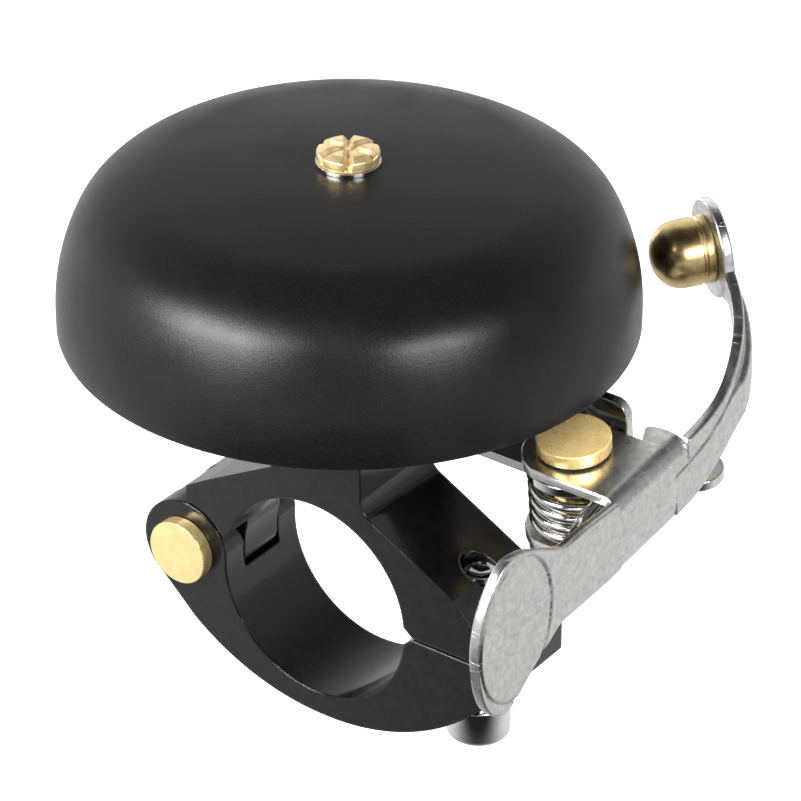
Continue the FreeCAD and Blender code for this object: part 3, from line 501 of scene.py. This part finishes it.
# The paddle's pressed oval: middle, half sizes and lean, then its crease and dish.
PRESS_V, PRESS_W, PRESS_HALF, PRESS_TALL, PRESS_LEAN = -21.8, -3.4, 5.75, 7.7, math.radians(-7)
CREASE_AT, CREASE_WIDTH, CREASE, DISH = 0.97, 0.022, 0.20, 0.10


def soft_max(a, b, k):
    """The larger of a and b, blended where they are within k of each other."""
    h = max(k - abs(a - b), 0.0) / k
    return max(a, b) + h * h * k / 4


def edges_at(s):
    """Lowest and highest w of the strip at s."""
    v = plan(s)[0][1]
    if abs(s) <= CHANNEL_EDGE:
        return -DEEP + LOW_BEND, -BEND
    if s < -CHANNEL_EDGE:
        return paddle_span(v)
    low, high = along(LOW_EDGE, v), along(TOP_EDGE, v)
    if s < WING_END + 0.6:
        high += (-BEND - high) * (1 - smooth((s - WING_END + 0.5) / 0.5))
    d = s - DISC_S
    if abs(d) < DISC_R:
        h = math.sqrt(DISC_R**2 - d * d)
        if d > 0:
            return DISC_W - h, DISC_W + h
        return -soft_max(-(DISC_W - h), -low, 0.7), soft_max(DISC_W + h, high, 0.7)
    return low, high


def lift(s, w):
    """How far the outer face stands proud of the plain sheet: the rib and the paddle."""
    u, v = plan(s)[0]
    made = 0.0
    if 2.0 < v < 27 and s < DISC_S - 2:
        rib = along(RIB, v)
        fade = smooth((v - 2.2) / 2.0) * smooth((DISC_S - 2.5 - s) / 3.0)
        made -= GROOVE * fade * math.exp(-((w - rib) / GROOVE_WIDTH) ** 2)
        step = smooth((rib - w) / 0.5 + 0.5) * smooth((v - 12.5) / 6.0)
        made += fade * step * min(ARM_SWELL, WEB_U - u)
    if s < -10:
        x, y = v - PRESS_V, w - PRESS_W
        p = (x * math.cos(PRESS_LEAN) + y * math.sin(PRESS_LEAN)) / PRESS_HALF
        q = (-x * math.sin(PRESS_LEAN) + y * math.cos(PRESS_LEAN)) / PRESS_TALL
        ring = math.hypot(p, q)
        made -= CREASE * math.exp(-((ring - CREASE_AT) / CREASE_WIDTH) ** 2)
        made -= DISH * smooth((CREASE_AT - ring) / 0.6)
    return made


def strip(stations, rows=64):
    """A closed sheet along stations, with rounded edges, in the pivot's frame."""
    verts, faces, rings = [], [], []
    for s in stations:
        (u, v), (nu, nv) = plan(s)
        low, high = edges_at(s)
        r = min(0.28, (high - low) / 2.2)
        section = []
        for k in range(rows + 1):
            w = low + r + (high - low - 2 * r) * k / rows
            section.append((0.0, w, lift(s, w)))
        corner = [(r - r * math.cos(t), r * math.sin(t)) for t in (0.52, 1.05, 1.57)]
        top_lift, low_lift = lift(s, high - r), lift(s, low + r)
        section += [(o, high - r + h, top_lift) for o, h in corner]
        section += [(SHEET - o, high - r + h, top_lift) for o, h in corner[::-1]]
        for k in range(rows + 1):
            w = high - r - (high - low - 2 * r) * k / rows
            section.append((SHEET, w, lift(s, w)))
        section += [(SHEET - o, low + r - h, low_lift) for o, h in corner]
        section += [(o, low + r - h, low_lift) for o, h in corner[::-1]]
        ring = []
        for o, w, up in section:
            off = up - o
            ring.append(len(verts))
            verts.append((u + nu * off, v + nv * off, w))
        rings.append(ring)
    count = len(rings[0])
    for one, two in zip(rings, rings[1:]):
        for k in range(count):
            n = (k + 1) % count
            faces.append((one[k], one[n], two[n], two[k]))
    faces.append(rings[0])
    faces.append(rings[-1][::-1])
    return verts, faces


def spaced(a, b, count, round_a=False, round_b=False):
    """Stations from a to b, closer together at a rounded end."""
    made = []
    for k in range(count + 1):
        t = k / count
        if round_a and not round_b:
            t = 1 - math.cos(t * math.pi / 2)
        if round_b and not round_a:
            t = math.sin(t * math.pi / 2)
        made.append(a + (b - a) * t)
    return made


def swept(sections):
    """A closed skin through sections, each a ring of as many points."""
    count = len(sections[0])
    verts = [p for section in sections for p in section]
    faces = [tuple(range(count)), tuple(range(len(verts) - 1, len(verts) - count - 1, -1))]
    for row in range(len(sections) - 1):
        one, two = row * count, (row + 1) * count
        for k in range(count):
            n = (k + 1) % count
            faces.append((one + k, two + k, two + n, one + n))
    return verts, faces


QUARTER = [math.pi / 2 * k / 10 for k in range(11)]


def channel():
    """The folded part round the pin: two flanges and the web between them."""
    def section(v, inset):
        reach = -math.sqrt(max(FLANGE_R**2 - v * v, 0.01)) + inset
        top, low = -inset, -DEEP + inset
        r_out, r_in = BEND - inset - 0.03, BEND - SHEET + inset
        th = SHEET - 2 * inset
        low_out, low_in = LOW_BEND - inset - 0.03, LOW_BEND - SHEET + inset
        cu, cw_top, lu, cw_low = WEB_U - BEND, -BEND, WEB_U - LOW_BEND, -DEEP + LOW_BEND
        path = [(reach, top - 0.12), (reach + 0.12, top)]
        path += [(cu + r_out * math.sin(t), cw_top + r_out * math.cos(t))
                 for t in QUARTER]
        path += [(lu + low_out * math.cos(t), cw_low - low_out * math.sin(t))
                 for t in QUARTER]
        path += [(reach + 0.12, low), (reach, low + 0.12), (reach, low + th - 0.12),
                 (reach + 0.12, low + th)]
        path += [(lu + low_in * math.sin(t), cw_low - low_in * math.cos(t))
                 for t in QUARTER]
        path += [(cu + r_in * math.cos(t), cw_top + r_in * math.sin(t))
                 for t in QUARTER]
        path += [(reach + 0.12, top - th), (reach, top - th + 0.12)]
        return [(u, v, w) for u, w in path]

    edge = CHANNEL_EDGE
    stations = [(-edge, 0.14), (-edge + 0.14, 0.0)]
    stations += [(v, 0.0) for v in spaced(-edge + 0.14, edge - 0.14, 30)[1:]]
    stations += [(edge, 0.14)]
    return swept([section(v, inset) for v, inset in stations])


# The inner edge of the wing's flange: (v, u) points.
WING_REACH = [(4.5, 4.7), (5.2, 4.3), (6.4, 3.75), (6.75, 3.9), (7.0, 4.6), (7.2, 5.6)]


def wing():
    """The upper flange's tab behind the channel, bent over into the web like the flange."""
    def section(v, inset):
        reach = along(WING_REACH, v) + inset
        r_out, r_in = BEND - inset - 0.03, BEND - SHEET + inset
        cu, cw, foot = WEB_U - BEND, -BEND, -2.7
        path = [(reach, -inset - 0.12), (reach + 0.12, -inset)]
        path += [(cu + r_out * math.sin(t), cw + r_out * math.cos(t)) for t in QUARTER]
        path += [(cu + r_out, foot), (cu + r_in, foot)]
        path += [(cu + r_in * math.cos(t), cw + r_in * math.sin(t)) for t in QUARTER]
        path += [(reach + 0.12, inset - SHEET), (reach, inset - SHEET + 0.12)]
        return [(u, v, w) for u, w in path]

    stations = [(v, 0.0) for v in spaced(4.58, WING_END - 0.14, 20)]
    stations += [(WING_END - 0.04, 0.05), (WING_END, 0.14)]
    return swept([section(v, inset) for v, inset in stations])


def make_lever():
    """The striker lever: the strip in two lengths, the channel and the wing."""
    verts, faces = [], []

    def join(more):
        base = len(verts)
        verts.extend(more[0])
        faces.extend([tuple(i + base for i in face) for face in more[1]])

    join(strip(spaced(PADDLE_END, PADDLE_V, 50, round_a=True) + spaced(PADDLE_V, -4.8, 100)[1:]
               + [-4.7, -4.0, -2.0, 0.0]))
    join(strip([0.0, 2.0, 2.6, 3.2, 3.8, 4.3, 4.7] + spaced(4.8, DISC_S, 110)
               + spaced(DISC_S, DISC_S + 4.995, 24, round_b=True)[1:]))
    join(channel())
    join(wing())
    piece("lever_stamped", verts, faces, STEEL, "striker", PIVOT, ["striker_lever"], angle=40)


make_lever()


# ---------------------------------------------------------------- hammer and rivet
def make_hammer():
    """The turned hammer on the arm's disc, and its rivet behind."""
    u, v = plan(DISC_S)[0]
    turn = Matrix.Rotation(ARM_TURN, 4, "Z") @ Matrix.Rotation(math.radians(-90), 4, "Y")
    place = PIVOT @ at(u, v, DISC_W, turn)
    radius, waist, dome = 3.4, 3.18, 3.0
    base = SHEET + 0.03
    shoulder = base + 5.8 - dome
    corners = rounded([(1.4, base), (radius - 0.1, base, 0.12), (radius, base + 0.15, 0.1),
                       (radius, base + 0.85, 0.08), (waist, base + 0.98, 0.08),
                       (waist, base + 1.18, 0.08), (radius, base + 1.3, 0.08),
                       (radius, shoulder)], 3)
    nose = []
    for k in range(1, 20):
        t = math.pi / 2 * k / 20
        nose.append((radius * math.cos(t) ** 0.92, shoulder + dome * math.sin(t)))
    nose.append((0.0, shoulder + dome))
    verts, faces = lathe(corners + nose)
    piece("hammer_turned", verts, faces, AGED, "striker", place, ["striker_hammer"])
    tail = rounded([(0, -0.75), (0.9, -0.75, 0.2), (2.2, -0.5, 0.2), (2.3, -0.05, 0.1),
                    (1.3, -0.02), (1.3, base + 2.0), (0, base + 2.0)], 4)
    verts, faces = lathe(tail, 64)
    piece("rivet_headed", verts, faces, BUSH, "striker", place, ["hammer_rivet"])


make_hammer()


# ---------------------------------------------------------------- torsion spring
def wire(points, radius, sides=18):
    """A round wire through points, with its ends rounded over."""
    points = [Vector(p) for p in points]
    verts, faces, rings = [], [], []
    side = Vector((0, 0, 1))
    for i, p in enumerate(points):
        ahead = points[min(i + 1, len(points) - 1)] - points[max(i - 1, 0)]
        ahead.normalize()
        side = (side - ahead * side.dot(ahead)).normalized()
        other = ahead.cross(side)
        size = radius * (0.75 if i in (0, len(points) - 1) else 1.0)
        ring = []
        for k in range(sides):
            a = 2 * math.pi * k / sides
            ring.append(len(verts))
            verts.append(p + side * (size * math.cos(a)) + other * (size * math.sin(a)))
        rings.append(ring)
    for one, two in zip(rings, rings[1:]):
        for k in range(sides):
            n = (k + 1) % sides
            faces.append((one[k], one[n], two[n], two[k]))
    faces.append(rings[0][::-1])
    faces.append(rings[-1])
    return verts, faces


def make_spring():
    """The torsion spring round the pin, with its two legs."""
    coil, radius, turns = 4.05, 0.53, 4
    low, high = -8.5 + radius + 0.06, -2.2 - radius - 0.06
    path = [(coil, 2.4, low), (coil, 2.2, low), (coil, 1.1, low)]
    steps = 48 * turns
    for k in range(steps + 1):
        a = 2 * math.pi * turns * k / steps
        path.append((coil * math.cos(a), -coil * math.sin(a), low + (high - low) * k / steps))
    # The upper leg runs forward under the bracket's plate and out behind the web.
    path += [(coil, -0.5, high - 0.05), (coil + 0.1, -1.6, high - 0.08),
             (coil + 0.3, -4.6, high - 0.12), (coil + 0.8, -7.4, high - 0.3),
             (coil + 1.5, -9.0, high - 0.6), (coil + 2.1, -9.7, high - 0.9)]
    verts, faces = wire(path, radius)
    piece("spring_coiled", verts, faces, WIRE, "striker", PIVOT, ["torsion_spring"], angle=60)


make_spring()


# ---------------------------------------------------------------- CAD nodes that stay
FINISHES = {
    "upper_clamp": BLACK_GLOSS, "lower_clamp": BLACK_GLOSS, "bracket": PLATE,
    "bell_stud": ZINC, "bracket_nut": ZINC, "lock_washer": ZINC, "crown_washer": CHROME,
    # The pin washer is black so that it stands in for the shade in the gap under the pin head:
    # painted shade.
    "dome_spacer": ZINC, "pin_clip": ZINC, "spring_bush": BUSH, "pin_washer": RUBBER,
    "dome_cushion": RUBBER,
}
for name, material in FINISHES.items():
    thing = nodes[name]
    thing.data.materials.clear()
    thing.data.materials.append(material)
    thing.data.shade_smooth()
    thing.data.set_sharp_from_angle(angle=math.radians(25))


# ---------------------------------------------------------------- floor, light, camera
def make_floor():
    """A pale floor that shows the camera a plain sheet, and reflections a sweep."""
    low = cad_box[0][2] - 0.045
    size = 4.0
    mesh = bpy.data.meshes.new("floor")
    mesh.from_pydata([(-size, -size, low), (size, -size, low), (size, size, low),
                      (-size, size, low)], [], [(0, 1, 2, 3)])
    floor = bpy.data.objects.new("floor", mesh)
    bpy.context.scene.collection.objects.link(floor)
    material, tree, bsdf = new_material("pale_floor")
    bsdf.inputs["Roughness"].default_value = 0.9
    bsdf.inputs["Specular IOR Level"].default_value = 0.1
    tree.links.new(ramp(tree, noise(tree, 6.0), [(0.2, 0.90), (0.8, 0.93)]),
                   bsdf.inputs["Base Color"])
    bsdf.inputs["Emission Color"].default_value = (1, 1, 1, 1)
    bsdf.inputs["Emission Strength"].default_value = 0.78
    # Reflections see a white sweep with a dark patch in front of the bell.
    place = add(tree, "ShaderNodeTexCoord")
    away = add(tree, "ShaderNodeVectorMath", operation="DISTANCE")
    away.inputs[1].default_value = (0.118, -0.162, low)
    tree.links.new(place.outputs["Object"], away.inputs[0])
    reach = add(tree, "ShaderNodeMapRange", interpolation_type="SMOOTHSTEP")
    for key, value in (("From Min", 0.12), ("From Max", 0.24), ("To Min", 0.02),
                       ("To Max", 0.85)):
        reach.inputs[key].default_value = value
    tree.links.new(away.outputs["Value"], reach.inputs["Value"])
    glow = add(tree, "ShaderNodeEmission")
    tree.links.new(reach.outputs["Result"], glow.inputs["Strength"])
    seen = add(tree, "ShaderNodeLightPath")
    mix = add(tree, "ShaderNodeMixShader")
    tree.links.new(seen.outputs["Is Camera Ray"], mix.inputs[0])
    tree.links.new(glow.outputs[0], mix.inputs[1])
    tree.links.new(bsdf.outputs[0], mix.inputs[2])
    output = [n for n in tree.nodes if n.type == "OUTPUT_MATERIAL"][0]
    tree.links.new(mix.outputs[0], output.inputs["Surface"])
    floor.data.materials.append(material)


def make_light(name, direction, distance, width, height, watts):
    """A rectangular lamp that looks at a point just above the handlebar's axis."""
    data = bpy.data.lights.new(name, "AREA")
    data.shape = "RECTANGLE"
    data.size = width
    data.size_y = height
    data.energy = watts
    lamp = bpy.data.objects.new(name, data)
    bpy.context.scene.collection.objects.link(lamp)
    way = Vector(direction).normalized()
    lamp.location = Vector((0, 0, 0.02)) + way * distance
    lamp.rotation_euler = way.to_track_quat("Z", "Y").to_euler()
    return lamp


def make_world():
    """The studio's surroundings."""
    world = bpy.data.worlds.new("studio")
    bpy.context.scene.world = world
    world.use_nodes = True
    tree = world.node_tree
    background = tree.nodes["Background"]
    place = add(tree, "ShaderNodeTexCoord")
    split = add(tree, "ShaderNodeSeparateXYZ")
    tree.links.new(place.outputs["Generated"], split.inputs[0])
    level = ramp(tree, split.outputs["Z"], [(0.0, 1.0), (0.2, 0.8), (0.55, 0.5), (0.8, 0.06)])
    # Bright behind the bell, dark in front of it and overhead.
    behind = add(tree, "ShaderNodeVectorMath", operation="DOT_PRODUCT")
    behind.inputs[1].default_value = (-0.588, 0.8085, 0.0)
    tree.links.new(place.outputs["Generated"], behind.inputs[0])
    side = add(tree, "ShaderNodeMapRange", interpolation_type="SMOOTHSTEP")
    for key, value in (("From Min", -0.45), ("From Max", 0.5), ("To Min", 0.04),
                       ("To Max", 1.0)):
        side.inputs[key].default_value = value
    tree.links.new(behind.outputs["Value"], side.inputs["Value"])
    tree.links.new(level, background.inputs["Color"])
    tree.links.new(side.outputs["Result"], background.inputs["Strength"])


def light_only(lamp, lit):
    """Lights only the objects in lit, as a card held close to them would."""
    group = bpy.data.collections.new("%s_lit" % lamp.name)
    for thing in lit:
        group.objects.link(thing)
    lamp.light_linking.receiver_collection = group


def pieces(*names):
    return [bpy.data.objects[name] for name in names]


make_floor()
make_world()
make_light("front_left", (-0.29, -0.86, 0.50), 0.55, 0.36, 0.22, 6.4)
make_light("right_side", (0.86, -0.28, 0.46), 0.55, 0.24, 0.14, 1.9)
light_only(make_light("crown_fill", (-0.50, 0.69, 0.52), 0.32, 0.30, 0.30, 0.22),
           pieces("flower_nut", "hammer_turned", "lever_stamped"))
light_only(make_light("arm_fill", (-0.80, 0.20, -0.06), 0.30, 0.20, 0.12, 0.30),
           pieces("lever_stamped", "hammer_turned"))
light_only(make_light("brass_fill", (0.62, -0.30, 0.72), 0.45, 0.50, 0.50, 5.0),
           pieces("lever_pin_headed"))

camera_data = bpy.data.cameras.new("camera")
camera = bpy.data.objects.new("camera", camera_data)
bpy.context.scene.collection.objects.link(camera)
camera_data.lens = 184.5
camera_data.sensor_width = 36.0
camera_data.clip_start = 0.01
right = Vector((0.8085, 0.5885, 0.0)).normalized()
back = Vector((0.50407, -0.69246, 0.51616)).normalized()
up = back.cross(right)
turn = Matrix((right, up, back)).transposed().to_4x4()
camera.matrix_world = Matrix.Translation(Vector((0.20672, -0.27507, 0.22756))) @ turn
bpy.context.scene.camera = camera
bpy.context.scene.view_settings.view_transform = "Standard"
